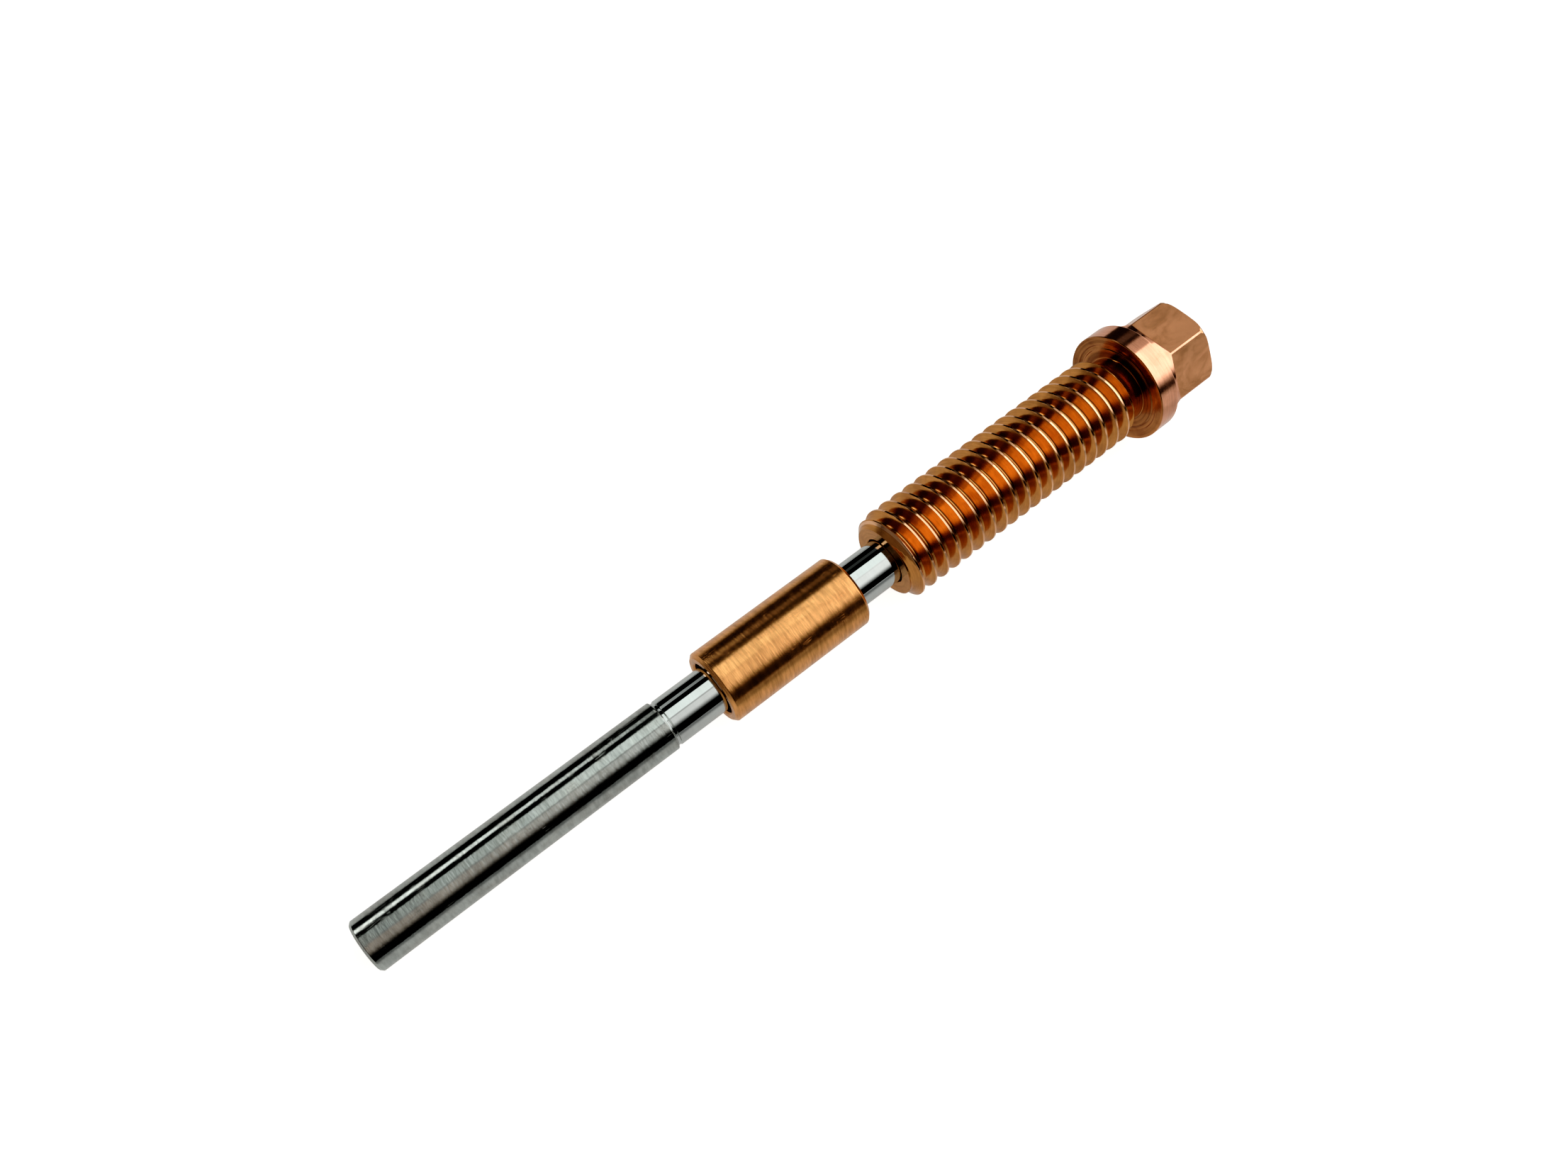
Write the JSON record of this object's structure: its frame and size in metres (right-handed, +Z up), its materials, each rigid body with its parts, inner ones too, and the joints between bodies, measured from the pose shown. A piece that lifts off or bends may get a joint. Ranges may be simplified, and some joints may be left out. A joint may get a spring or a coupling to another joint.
{
  "type": "hollow hex screw with turning spindle",
  "caption": "Hollow flanged hex screw with a fine thread, a steel spindle that turns inside it, and a loose sleeve that slides on the spindle.",
  "frame": {"origin": "centre of the flange seat, on the common axis of all the pieces", "axes": "+X along the common axis, out through the hexagon head; +Z up, square to one flat of the hexagon"},
  "size_m": [0.063, 0.0078, 0.0078],
  "materials": {
    "copper": "turned and polished copper alloy",
    "spindle_steel": "mirror-polished rod, finely brushed shank",
    "bush_bronze": "plain sintered bronze",
    "bearing_steel": "ground",
    "spacer_steel": "drawn tube"
  },
  "bodies": {
    "screw_body": {"screw": "copper", "front_bush": "bush_bronze", "spacer_tube": "spacer_steel", "rear_bush": "bush_bronze", "front_race": "bearing_steel", "rear_race": "bearing_steel", "shim": "spacer_steel", "end_plug": "copper"},
    "spindle_body": {"spindle": "spindle_steel", "thrust_collar": "bearing_steel", "lock_ring": "spacer_steel"},
    "front_ball_row": {"front_balls": "bearing_steel"},
    "rear_ball_row": {"rear_balls": "bearing_steel"},
    "sleeve_body": {"sleeve": "copper"}
  },
  "joints": [
    {"name": "spindle_turn", "type": "hinge", "parent": "screw_body", "child": "spindle_body", "pos_m": [0, 0, 0], "axis": [1, 0, 0], "continuous": true},
    {"name": "front_balls_orbit", "type": "hinge", "parent": "screw_body", "child": "front_ball_row", "pos_m": [0, 0, 0], "axis": [1, 0, 0], "continuous": true},
    {"name": "rear_balls_orbit", "type": "hinge", "parent": "screw_body", "child": "rear_ball_row", "pos_m": [0, 0, 0], "axis": [1, 0, 0], "continuous": true},
    {"name": "sleeve_slide", "type": "slide", "parent": "spindle_body", "child": "sleeve_body", "axis": [1, 0, 0], "range_m": [-0.0044, 0.00312]}
  ],
  "couplings": [
    {"joint": "front_balls_orbit", "follows": "spindle_turn", "ratio": 0.5},
    {"joint": "rear_balls_orbit", "follows": "spindle_turn", "ratio": 0.5}
  ]
}
